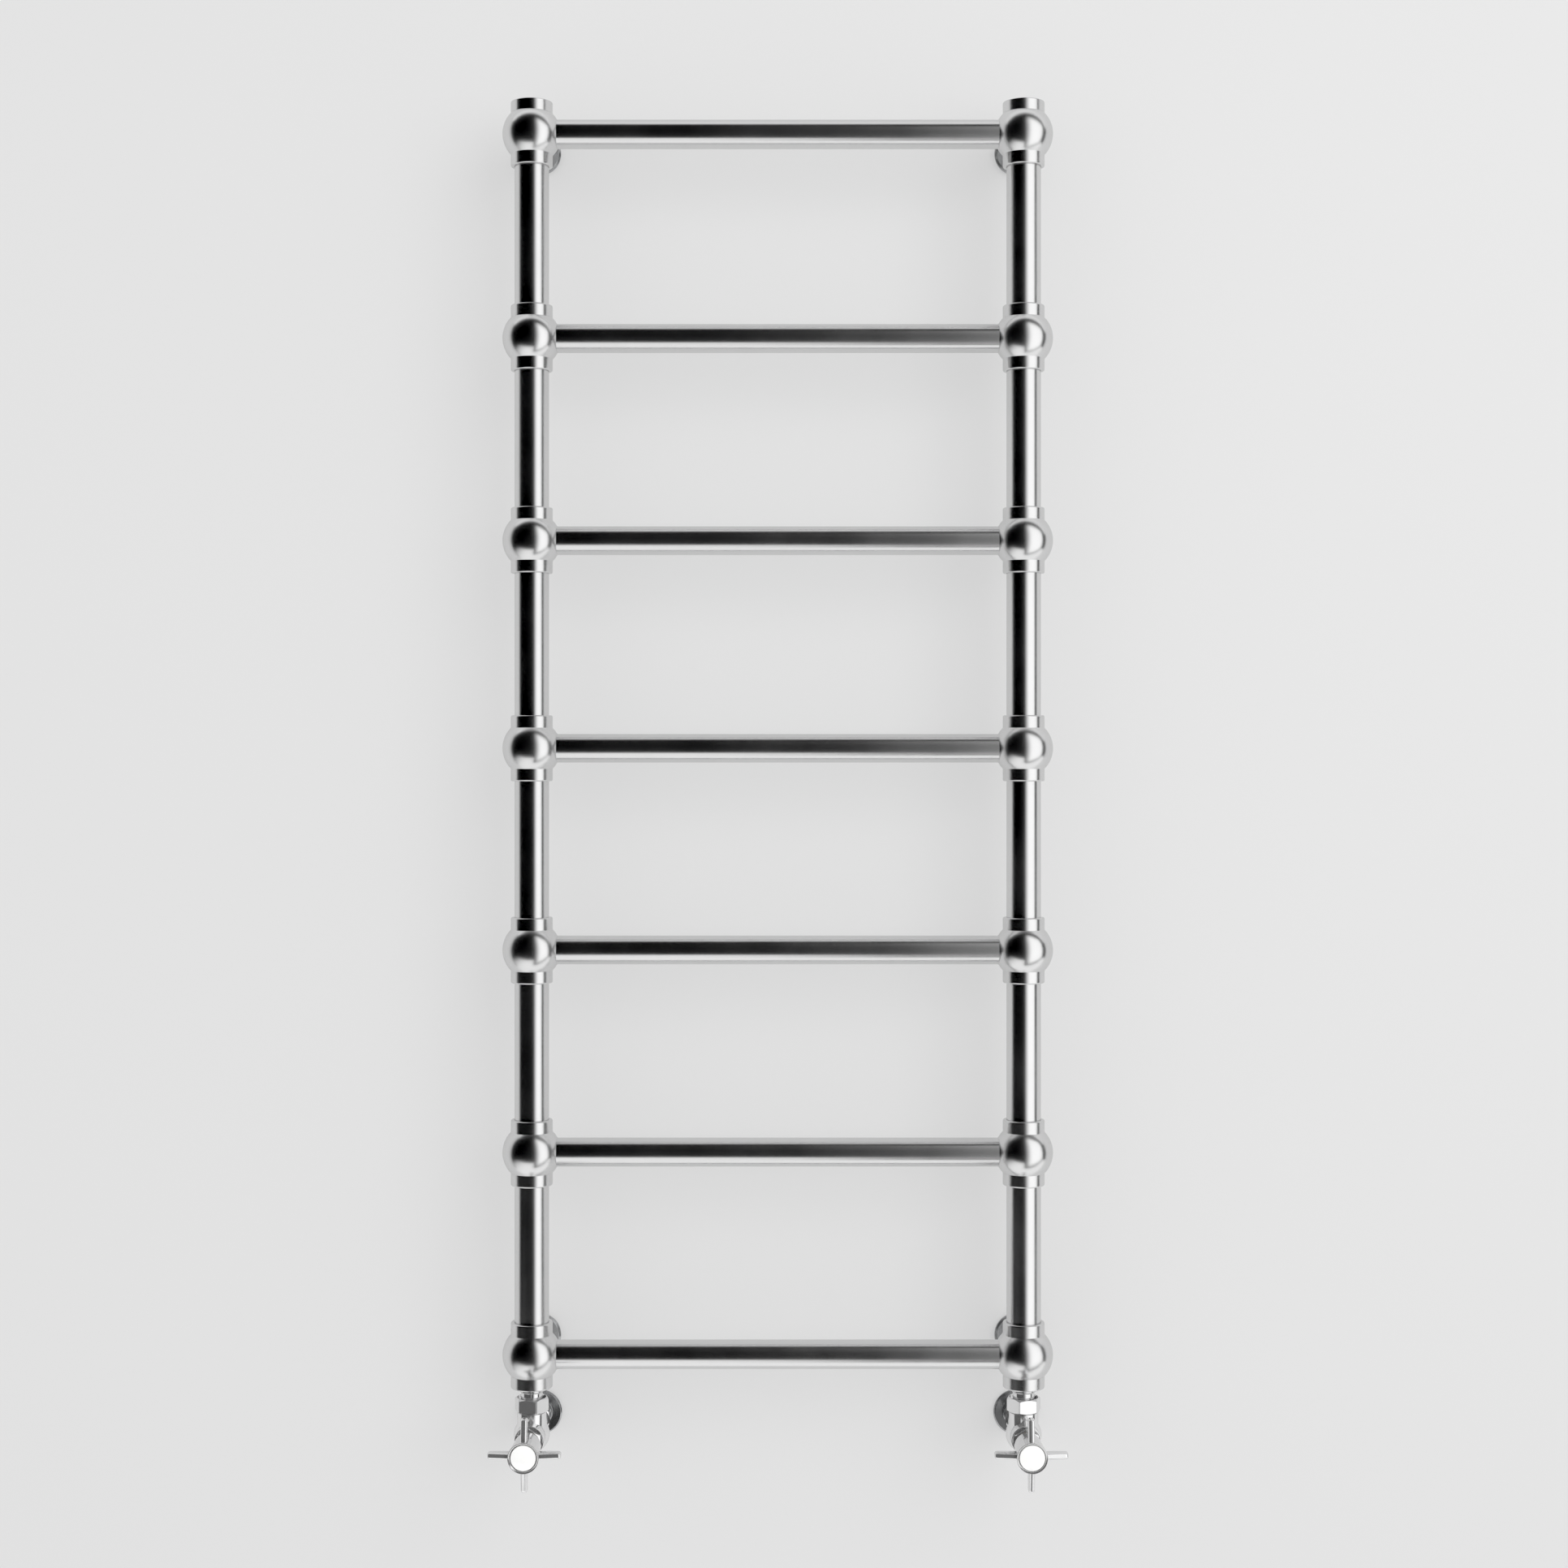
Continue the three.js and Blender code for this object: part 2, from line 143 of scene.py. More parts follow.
POST_AXIS = {side: middle(f"post_{side}_1") for side in SIDES}
RAIL_HEIGHTS = [middle(f"rail_{i + 1}").z for i in range(RAIL_COUNT)]
WALL_TO_POST = -middle("rail_1").y / MM
VALVE_HEIGHT = middle("handle_insert_left").z
VALVE_DROP = (RAIL_HEIGHTS[0] - VALVE_HEIGHT) / MM
bodies = frame["record"]["behaviour"]["bodies"]
body_of = {node: body for body, nodes in bodies.items() for node in nodes}
slot_of = {part["node"]: part["material_slot"] for part in frame["record"]["subparts"]}


def on_post(side, height):
    return Vector((POST_AXIS[side].x, POST_AXIS[side].y, height))


# --- Mesh helpers ---

def rounded(corners):
    """A closed profile from corners (radius, along) or (radius, along, fillet). A fillet is a tangent arc."""
    points = []
    for i, corner in enumerate(corners):
        here = Vector(corner[:2])
        if len(corner) < 3:
            points.append(here)
            continue
        to_last = (Vector(corners[i - 1][:2]) - here)
        to_next = (Vector(corners[(i + 1) % len(corners)][:2]) - here)
        room_last, room_next = to_last.length, to_next.length
        to_last.normalize()
        to_next.normalize()
        half = to_last.angle(to_next) / 2
        reach = corner[2] / math.tan(half)
        centre = here + (to_last + to_next).normalized() * corner[2] / math.sin(half)
        start, end = here + to_last * reach - centre, here + to_next * reach - centre
        turn = start.angle_signed(end)
        steps = max(2, math.ceil(abs(turn) / ARC_STEP))
        if room_last > reach + 3 * SUPPORT:
            points.append(here + to_last * (reach + SUPPORT))
        for step in range(steps + 1):
            points.append(centre + Matrix.Rotation(-turn * step / steps, 2) @ start)
        if room_next > reach + 3 * SUPPORT:
            points.append(here + to_next * (reach + SUPPORT))
    return points


def arc(radius, start, end):
    """Points on a circle about the centre, between two angles above the radius direction."""
    steps = max(2, math.ceil(abs(end - start) / ARC_STEP))
    angles = [start + (end - start) * i / steps for i in range(steps + 1)]
    return [(radius * math.cos(a), radius * math.sin(a)) for a in angles]


def circle(radius, along):
    if radius < POLE:
        return [Vector((0, 0, along))]
    turns = [math.tau * i / SEGMENTS for i in range(SEGMENTS)]
    return [Vector((radius * math.cos(t), radius * math.sin(t), along)) for t in turns]


def skinned(rings, closed=True, turn=None):
    """A mesh through rings of points. A ring of one point is a pole. An open skin is capped at its ends."""
    bm = bmesh.new()
    loops = [[bm.verts.new(point) for point in ring] for ring in rings]
    pairs = list(zip(loops, loops[1:]))
    if closed:
        pairs.append((loops[-1], loops[0]))
    else:
        bm.faces.new(loops[0])
        bm.faces.new(loops[-1])
    for lower, upper in pairs:
        count = max(len(lower), len(upper))
        for i in range(count if count > 1 else 0):
            j = (i + 1) % count
            bottom = [lower[i % len(lower)], lower[j % len(lower)]]
            top = [upper[j % len(upper)], upper[i % len(upper)]]
            bm.faces.new(list(dict.fromkeys(bottom + top)))
    bmesh.ops.recalc_face_normals(bm, faces=bm.faces)
    if turn is not None:
        bm.transform(turn)
    mesh = bpy.data.meshes.new("solid")
    bm.to_mesh(mesh)
    bm.free()
    return mesh


def lathe(corners, turn=None):
    return skinned([circle(radius, along) for radius, along in rounded(corners)], turn=turn)


def rod(radius, start, end, turn=None):
    return lathe([(0, start), (radius, start), (radius, end), (0, end)], turn)


def moved(mesh, matrix):
    mesh.transform(matrix)
    return mesh


def combined(base, *steps):
    """The base mesh after joining or cutting other solids: each step is ("UNION" or "DIFFERENCE", mesh)."""
    objects = [bpy.data.objects.new("operand", base)]
    for operation, mesh in steps:
        tool = bpy.data.objects.new("operand", mesh)
        modifier = objects[0].modifiers.new(operation, "BOOLEAN")
        modifier.operation = operation
        modifier.solver = "EXACT"
        modifier.object = tool
        objects.append(tool)
    for item in objects:
        bpy.context.scene.collection.objects.link(item)
    evaluated = objects[0].evaluated_get(bpy.context.evaluated_depsgraph_get())
    result = bpy.data.meshes.new_from_object(evaluated)
    for item in objects:
        bpy.data.objects.remove(item)
    bm = bmesh.new()
    bm.from_mesh(result)
    bmesh.ops.remove_doubles(bm, verts=bm.verts, dist=WELD)
    bmesh.ops.dissolve_degenerate(bm, edges=bm.edges, dist=WELD)
    bm.to_mesh(result)
    bm.free()
    return result


def polygon(flats, sides, corner, first):
    """Points round a regular polygon with rounded corners. The first corner lies at the given angle."""
    half = math.pi / sides
    inset = (flats / 2 - corner) / math.cos(half)
    steps, flat_steps = 4, 10
    points = []
    for k in range(sides):
        angle = first + 2 * half * k
        centre = Vector((inset * math.cos(angle), inset * math.sin(angle)))
        turns = [angle - half + 2 * half * i / steps for i in range(steps + 1)]
        corner_arc = [centre + Vector((corner * math.cos(t), corner * math.sin(t))) for t in turns]
        points += corner_arc
        next_centre = Vector((inset * math.cos(angle + 2 * half), inset * math.sin(angle + 2 * half)))
        next_start = next_centre + Vector((corner * math.cos(turns[-1]), corner * math.sin(turns[-1])))
        points += [corner_arc[-1].lerp(next_start, i / flat_steps) for i in range(1, flat_steps)]
    return points


def hex_nut(flats, start, end, inside, first=math.pi / 2, turn=None):
    """A hexagon with chamfered corners at both ends; inside is its hole's profile, from end to start.

    Open fault: rounded() takes the hole's profile as closed, so a fillet on its first or last corner comes out
    as a deep funnel. It shows on both union nuts and both compression nuts. The compression nut's hole is also
    wider than the land of its chamfer.
    """
    outline = polygon(flats, 6, HEXAGON["corner"], first)
    land = flats / 2 * HEXAGON["land"]
    slope = math.tan(HEXAGON["chamfer"])

    def round_ring(radius, along):
        return [Vector((*(p.normalized() * radius), along)) for p in outline]

    rings = [
        round_ring(land, start),
        [Vector((p.x, p.y, start + (p.length - land) * slope)) for p in outline],
        [Vector((p.x, p.y, end - (p.length - land) * slope)) for p in outline],
        round_ring(land, end),
    ]
    rings += [round_ring(radius, along) for radius, along in rounded(inside)]
    return skinned(rings, turn=turn)


def arm_bar(turn=None):
    """A bar along X with rounded edges. Its front faces -Y and slopes back from the hub to both tips."""
    width, edge = ARM["width"], ARM["edge_round"]
    rings = []
    steps = 5
    for end in (-1, 1):
        order = range(steps + 1) if end < 0 else range(steps, -1, -1)
        for k in order:
            angle = math.pi / 2 * k / steps
            inset = edge * (1 - math.sin(angle))
            height = end * (width / 2 - edge + edge * math.cos(angle))
            rings.append(arm_outline(inset, height))
    return skinned(rings, closed=False, turn=turn)


def arm_outline(inset, height):
    """The arm bar's outline at one height, drawn in by the inset."""
    steps = 8
    corner = ARM["corner"] - inset
    across = ARM["half_span"] - ARM["corner"]
    front, back = ARM["corner"] - ARM["tip"], -ARM["back"] - ARM["corner"]
    centres = [(across, front), (across, back), (-across, back), (-across, front)]
    points = [Vector((x, inset - ARM["front"], height)) for x in (-ARM["flat"], ARM["flat"])]
    for k, (x, y) in enumerate(centres):
        for i in range(steps + 1):
            angle = math.pi / 2 * (k - 1 + i / steps)
            points.append(Vector((x + corner * math.cos(angle), y + corner * math.sin(angle), height)))
    return points


# --- Ladder pieces ---

def ball_joint(side, is_bottom=False, is_top=False):
    """A ball with a collar above and below, bored for the posts, with a socket for the rail."""
    shoulder = math.acos(JOINT["collar"] / JOINT["ball"])
    top = JOINT["top_half"] if is_top else JOINT["half"]
    lower_bore = PORT_RADIUS if is_bottom else POST["radius"] + FIT
    upper_bore = PORT_RADIUS if is_top else POST["radius"] + FIT
    top_round = JOINT["top_round"] if is_top else JOINT["end_round"]
    body = lathe([
        (JOINT["collar"], -JOINT["half"], JOINT["end_round"]),
        *arc(JOINT["ball"], -shoulder, shoulder),
        (JOINT["collar"], top, top_round),
        (upper_bore, top, 0.25),
        (upper_bore, JOINT["stop"]),
        (JOINT["waterway"], JOINT["stop"]),
        (JOINT["waterway"], -JOINT["stop"]),
        (lower_bore, -JOINT["stop"]),
        (lower_bore, -JOINT["half"], 0.25),
    ])
    towards = ACROSS if side < 0 else Matrix.Rotation(math.pi, 4, "Z") @ ACROSS
    cuts = [rod(RAIL["radius"] + FIT, JOINT["rail_stop"], JOINT["ball"] + OVERRUN, towards)]
    if is_bottom or is_top:
        spigot = rod(BRACKET["spigot"] + FIT, 0, BRACKET["spigot_length"] + OVERRUN, FORWARD)
        cuts.append(moved(spigot, Matrix.Translation((0, JOINT["ball"] + OVERRUN, 0))))
    return combined(body, *[("DIFFERENCE", cut) for cut in cuts])


def tube(size, length, turn=None):
    inner = size["radius"] - size["wall"]
    return lathe([
        (size["radius"], -length / 2, 0.4),
        (size["radius"], length / 2, 0.4),
        (inner, length / 2, 0.3),
        (inner, -length / 2, 0.3),
    ], turn)


def wall_bracket():
    """A round wall plate with a sloping rim, and a stem whose spigot screws into the ball."""
    stem_end = WALL_TO_POST - JOINT["ball"] - GAP
    spigot_end = stem_end + BRACKET["spigot_length"]
    return lathe([
        (0, 0),
        (BRACKET["plate"], 0, 0.4),
        (BRACKET["plate"], BRACKET["rim"], 0.9),
        (BRACKET["face"], BRACKET["thickness"], 0.9),
        (BRACKET["stem"], BRACKET["thickness"], 2.2),
        (BRACKET["stem"], stem_end, 0.8),
        (BRACKET["spigot"], stem_end, 0.2),
        (BRACKET["spigot"], spigot_end, 0.8),
        (0, spigot_end),
    ], FORWARD)


PLUG_START = JOINT["stop"] + GAP
PLUG_END = JOINT["top_half"] - PLUG["recess"]


def blanking_plug():
    radius = PORT_RADIUS - FIT
    body = lathe([(0, PLUG_START), (radius, PLUG_START, 0.5), (radius, PLUG_END, 0.7), (0, PLUG_END)])
    outline = polygon(PLUG["hex_socket"], 6, PLUG["socket_corner"], 0)
    levels = (PLUG_END - PLUG["socket_depth"], PLUG_END + 1)
    socket = skinned([[Vector((*p, z)) for p in outline] for z in levels], closed=False)
    return combined(body, ("DIFFERENCE", socket))


def air_vent_plug():
    radius = PORT_RADIUS - FIT
    bore = BLEED["screw"] + BLEED["clearance"]
    return lathe([
        (radius, PLUG_START, 0.5),
        (radius, PLUG_END, 0.7),
        (bore, PLUG_END, 0.5),
        (bore, BLEED["seat"]),
        (BLEED["vent"], BLEED["seat"]),
        (BLEED["vent"], PLUG_START),
    ])


def bleed_screw():
    head = PLUG_END - 2 * PLUG["recess"]
    start = BLEED["seat"] + BLEED["clearance"]
    screw = lathe([(0, start), (BLEED["screw"], start, 0.4), (BLEED["screw"], head, 0.5), (0, head)])
    half, depth = BLEED["slot"] / 2, BLEED["slot_depth"]
    reach = BLEED["screw"] * 1.5
    outline = [(-reach, -half), (reach, -half), (reach, half), (-reach, half)]
    levels = (head - depth, head + depth)
    slot = skinned([[Vector((x, y, z)) for x, y in outline] for z in levels], closed=False)
    return combined(screw, ("DIFFERENCE", slot))


# --- Valve pieces, about the valve's own axis ---

def valve_body():
    """A ball with a threaded boss above and a barrel to the front and to the wall, bored for the water.

    The joined solids start at different depths inside the ball, so that no two of their faces coincide.
    """
    quarter = math.pi / 2
    reach, recess_floor = FRONT["reach"], FRONT["reach"] - FRONT["recess_depth"]
    ball = lathe([(0, -BODY["ball"]), *arc(BODY["ball"], -quarter, quarter)[1:-1], (0, BODY["ball"])])
    boss = lathe([
        (0, 0),
        (BODY["boss"], 0),
        (BODY["boss"], BODY["boss_top"], 0.9),
        (0, BODY["boss_top"]),
    ])
    thread = lathe([
        (0, 1),
        (BODY["thread"], 1),
        (BODY["thread"], BODY["thread_top"], 1),
        (0, BODY["thread_top"]),
    ])
    front = lathe([
        (0, 0),
        (FRONT["barrel"], 0),
        (FRONT["barrel"], reach, 0.8),
        (FRONT["recess"], reach, 0.25),
        (FRONT["recess"], recess_floor),
        (0, recess_floor),
    ], FORWARD)
    rear = lathe([
        (0, 1),
        (0, REAR["reach"]),
        (REAR["barrel"], REAR["reach"], 0.8),
        (REAR["barrel"], 1),
    ], FORWARD)
    rear_thread = lathe([
        (0, 2),
        (0, REAR["thread_reach"]),
        (REAR["thread"], REAR["thread_reach"], 1),
        (REAR["thread"], 2),
    ], FORWARD)
    outside = combined(ball, *[("UNION", solid) for solid in (boss, thread, front, rear, rear_thread)])
    holes = [
        rod(FRONT["chamber"], FRONT["seat"], reach + OVERRUN, FORWARD),
        rod(REAR["inlet"], REAR["thread_reach"] - OVERRUN, 0, FORWARD),
        rod(REAR["socket"], REAR["thread_reach"] - OVERRUN, REAR["socket_start"], FORWARD),
        rod(BODY["outlet"], 0, BODY["thread_top"] + OVERRUN),
    ]
    return combined(outside, *[("DIFFERENCE", hole) for hole in holes])


def radiator_tail():
    """The tail screws into the radiator, and its lip is held inside the union nut."""
    flange_top = VALVE_DROP - JOINT["half"] - FIT
    return lathe([
        (TAIL["lip"], TAIL["lip_bottom"], 0.4),
        (TAIL["lip"], TAIL["lip_top"], 0.4),
        (TAIL["neck"], TAIL["lip_top"]),
        (TAIL["neck"], TAIL["flange_bottom"], 1.2),
        (TAIL["flange"], TAIL["flange_bottom"], 0.7),
        (TAIL["flange"], flange_top, 0.5),
        (PORT_RADIUS - FIT, flange_top),
        (PORT_RADIUS - FIT, TAIL["top"], 0.6),
        (TAIL["bore"], TAIL["top"], 0.4),
        (TAIL["bore"], TAIL["lip_bottom"], 0.4),
    ])


def union_nut(side):
    first = -math.pi / 2 - side * math.radians(UNION_NUT["turn"])
    inside = [
        (TAIL["neck"] + 2 * FIT, UNION_NUT["top"], 0.6),
        (TAIL["neck"] + 2 * FIT, UNION_NUT["roof"]),
        (BODY["thread"] + 2 * FIT, UNION_NUT["roof"]),
        (BODY["thread"] + 2 * FIT, UNION_NUT["bottom"]),
    ]
    return hex_nut(UNION_NUT["flats"], UNION_NUT["bottom"], UNION_NUT["top"], inside, first)


def valve_bonnet():
    """The hexagon and neck that carry the spindle, over an insert that screws into the body."""
    radius, back, front = BONNET["insert"], BONNET["hex_back"], BONNET["hex_front"]
    hexagon = hex_nut(BONNET["flats"], back, front, [(1, front), (1, back)], turn=FORWARD)
    insert = lathe([
        (0, BONNET["inner"]),
        (radius, BONNET["inner"], 0.5),
        (radius, front - 1),
        (0, front - 1),
    ], FORWARD)
    neck = lathe([
        (0, front - 2),
        (BONNET["neck"], front - 2),
        (BONNET["neck"], BONNET["front"], 0.8),
        (0, BONNET["front"]),
    ], FORWARD)
    bore = rod(BONNET["bore"], BONNET["inner"] - OVERRUN, BONNET["front"] + OVERRUN, FORWARD)
    return combined(hexagon, ("UNION", insert), ("UNION", neck), ("DIFFERENCE", bore))


def valve_spindle():
    return lathe([
        (0, SPINDLE["inner"]),
        (SPINDLE["tip"], SPINDLE["inner"], 0.5),
        (SPINDLE["tip"], SPINDLE["step"]),
        (SPINDLE["radius"], SPINDLE["step"], 0.3),
        (SPINDLE["radius"], SPINDLE["front"], 0.6),
        (0, SPINDLE["front"]),
    ], FORWARD)


def valve_plug():
    return lathe([
        (0, DISC["back"]),
        (DISC["radius"], DISC["back"], 0.6),
        (DISC["radius"], DISC["front"], 0.5),
        (DISC["sleeve"], DISC["front"], 0.4),
        (DISC["sleeve"], DISC["sleeve_front"], 0.5),
        (DISC["bore"], DISC["sleeve_front"], 0.3),
        (DISC["bore"], DISC["bore_end"]),
        (0, DISC["bore_end"]),
    ], FORWARD)


def cross_handle():
    hub = lathe([
        (HUB["rear"], HUB["back"], 1.0),
        (HUB["front"], HUB["face"], 0.25),
        (RECESS["radius"] + RECESS["lead_in"], HUB["face"], 0.15),
        (RECESS["radius"], HUB["face"] - RECESS["lead_in"], 0.2),
        (RECESS["radius"], RECESS["floor"]),
        (0, RECESS["floor"]),
        (0, HUB["socket_end"]),
        (SPINDLE["radius"] + FIT, HUB["socket_end"]),
        (SPINDLE["radius"] + FIT, HUB["skirt_end"]),
        (HUB["skirt"], HUB["skirt_end"]),
        (HUB["skirt"], HUB["back"], 0.5),
    ], FORWARD)
    return combined(hub, ("UNION", arm_bar()), ("UNION", arm_bar(turn=ACROSS)))


def handle_insert():
    """A glazed disc, gently domed, with a rounded rim."""
    rise = INSERT["dome"] - INSERT["edge"]
    flat_radius = INSERT["radius"] - INSERT["rim"]
    steps = 10
    crown = (flat_radius ** 2 + rise ** 2) / (2 * rise)
    edge_angle = math.asin(flat_radius / crown)
    dome = [(crown * math.sin(a), INSERT["dome"] - crown + crown * math.cos(a))
            for a in [edge_angle * (1 - i / steps) for i in range(steps + 1)]]
    floor = RECESS["floor"] + FIT
    return lathe([
        (0, floor),
        (INSERT["radius"], floor),
        (INSERT["radius"], INSERT["edge"] - INSERT["rim_drop"], INSERT["rim_round"]),
        *dome[:-1],
        (0, INSERT["dome"]),
    ], FORWARD)


def compression_nut():
    inside = [
        (PIPE_NUT["bore"], PIPE_NUT["front"]),
        (PIPE_NUT["bore"], PIPE_NUT["roof"]),
        (PIPE_NUT["hole"], PIPE_NUT["roof"]),
        (PIPE_NUT["hole"], PIPE_NUT["back"], 0.5),
    ]
    return hex_nut(PIPE_NUT["flats"], PIPE_NUT["back"], PIPE_NUT["front"], inside, turn=FORWARD)


def pipe_rose():
    """A flat bevelled cover for the hole in the wall, with a short collar round the pipe."""
    face = ROSE["edge"] + ROSE["bevel"]
    return lathe([
        (ROSE["flange"], 0, 0.25),
        (ROSE["flange"], ROSE["edge"], 0.7),
        (ROSE["flange"] - ROSE["bevel"], face, 0.7),
        (ROSE["collar"], face, 0.8),
        (ROSE["collar"], ROSE["depth"], 0.8),
        (ROSE["bore"], ROSE["depth"], 0.6),
        (ROSE["bore"], 0),
    ], FORWARD)


# --- Materials ---

def new_material(name):
    material = bpy.data.materials.new(name)
    material.use_nodes = True
    tree = material.node_tree
    return material, tree.nodes, tree.links, tree.nodes["Principled BSDF"]


def varied_coordinates(nodes, links):
    """Object coordinates, shifted for each piece so that no two show the same marks."""
    place = nodes.new("ShaderNodeTexCoord")
    piece_info = nodes.new("ShaderNodeObjectInfo")
    shift = nodes.new("ShaderNodeVectorMath")
    shift.operation = "MULTIPLY"
    shift.inputs[1].default_value = PIECE_SHIFT
    links.new(piece_info.outputs["Random"], shift.inputs[0])
    add = nodes.new("ShaderNodeVectorMath")
    links.new(place.outputs["Object"], add.inputs[0])
    links.new(shift.outputs[0], add.inputs[1])
    return add.outputs[0]


def noise(nodes, links, vector, scale, detail=3.0, stretch=None):
    if stretch:
        mapping = nodes.new("ShaderNodeMapping")
        mapping.inputs["Scale"].default_value = stretch
        mapping.inputs["Rotation"].default_value = SCRATCH_TILT
        links.new(vector, mapping.inputs["Vector"])
        vector = mapping.outputs["Vector"]
    node = nodes.new("ShaderNodeTexNoise")
    node.inputs["Scale"].default_value = scale
    node.inputs["Detail"].default_value = detail
    links.new(vector, node.inputs["Vector"])
    return node.outputs["Fac"]


def spread(nodes, links, value, low, high):
    """A noise value stretched over the range from low to high."""
    node = nodes.new("ShaderNodeMapRange")
    node.inputs["From Min"].default_value, node.inputs["From Max"].default_value = NOISE_RANGE
    node.inputs["To Min"].default_value = low
    node.inputs["To Max"].default_value = high
    links.new(value, node.inputs["Value"])
    return node.outputs["Result"]


def bumped(nodes, links, shader, height, strength, distance):
    bump = nodes.new("ShaderNodeBump")
    bump.inputs["Strength"].default_value = strength
    bump.inputs["Distance"].default_value = distance
    links.new(height, bump.inputs["Height"])
    links.new(bump.outputs["Normal"], shader.inputs["Normal"])


def toned(nodes, links, value, dark, light):
    """A colour between two tones, following a noise value."""
    mix = nodes.new("ShaderNodeMix")
    mix.data_type = "RGBA"
    mix.inputs["A"].default_value = (*dark, 1)
    mix.inputs["B"].default_value = (*light, 1)
    links.new(value, mix.inputs["Factor"])
    return mix.outputs["Result"]


def chrome(name, dark, light, metallic, roughness):
    """Polished plating, a little duller at glancing angles, with faint smears and hair-fine scratches."""
    material, nodes, links, shader = new_material(name)
    where = varied_coordinates(nodes, links)
    shader.inputs["Metallic"].default_value = metallic
    shader.inputs["Specular Tint"].default_value = (CHROME_EDGE, CHROME_EDGE, CHROME_EDGE, 1)
    smears = noise(nodes, links, where, 14, 4)
    links.new(spread(nodes, links, smears, *roughness), shader.inputs["Roughness"])
    links.new(toned(nodes, links, noise(nodes, links, where, 45), dark, light), shader.inputs["Base Color"])
    scratches = noise(nodes, links, where, 260, 2, stretch=(1, 1, 0.04))
    bumped(nodes, links, shader, scratches, 0.025, 0.00003)
    return material


def machined_brass():
    material, nodes, links, shader = new_material("machined_brass")
    where = varied_coordinates(nodes, links)
    shader.inputs["Metallic"].default_value = 1
    links.new(spread(nodes, links, noise(nodes, links, where, 60), 0.24, 0.4), shader.inputs["Roughness"])
    tones = toned(nodes, links, noise(nodes, links, where, 120, 5), (0.6, 0.44, 0.2), (0.74, 0.57, 0.3))
    links.new(tones, shader.inputs["Base Color"])
    bumped(nodes, links, shader, noise(nodes, links, where, 900, 2, stretch=(0.1, 1, 0.1)), 0.25, 0.00006)
    return material


def glazed_ceramic():
    """White glaze: almost flawless, with a little mottling and a slight ripple."""
    material, nodes, links, shader = new_material("glazed_ceramic")
    where = varied_coordinates(nodes, links)
    mottling = noise(nodes, links, where, 160, 4)
    tones = toned(nodes, links, mottling, (0.93, 0.93, 0.915), (0.965, 0.965, 0.955))
    links.new(tones, shader.inputs["Base Color"])
    links.new(spread(nodes, links, noise(nodes, links, where, 300), 0.07, 0.14), shader.inputs["Roughness"])
    shader.inputs["IOR"].default_value = 1.52
    shader.inputs["Coat Weight"].default_value = 0.4
    shader.inputs["Coat Roughness"].default_value = 0.04
    bumped(nodes, links, shader, noise(nodes, links, where, 220, 1), 0.06, 0.00008)
    return material


MATERIALS = {
    "radiator_chrome": chrome("radiator_chrome", dark=(0.695, 0.695, 0.696), light=(0.725, 0.725, 0.726),
                              metallic=1.0, roughness=(0.23, 0.26)),
    "valve_chrome": chrome("valve_chrome", dark=(0.77, 0.77, 0.772), light=(0.81, 0.81, 0.812),
                           metallic=0.82, roughness=(0.035, 0.07)),
    "satin_chrome": chrome("satin_chrome", dark=(0.44, 0.445, 0.45), light=(0.48, 0.485, 0.49),
                           metallic=0.9, roughness=(0.16, 0.22)),
    "brass": machined_brass(),
    "white_ceramic": glazed_ceramic(),
}


# --- Assembly ---

def finish_mesh(mesh, name):
    """Scales a drawn solid to metres and gives it smooth faces with sharp edges kept."""
    mesh.name = name
    mesh.transform(Matrix.Scale(MM, 4))
    for polygon_face in mesh.polygons:
        polygon_face.use_smooth = True
    mesh.set_sharp_from_angle(angle=SHARP_ANGLE)
    return mesh


def place(mesh, node, location, turn=0.0, finish=None):
    """Stands a finished mesh in for one CAD node, on that node's body."""
    piece = bpy.data.objects.new(f"fine_{node}", mesh)
    bpy.context.scene.collection.objects.link(piece)
    piece.location = location
    piece.rotation_euler = (0, 0, turn)
    if not mesh.materials:
        mesh.materials.append(MATERIALS[finish or slot_of[node]])
    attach(piece, body_of[node])
    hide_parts(node)


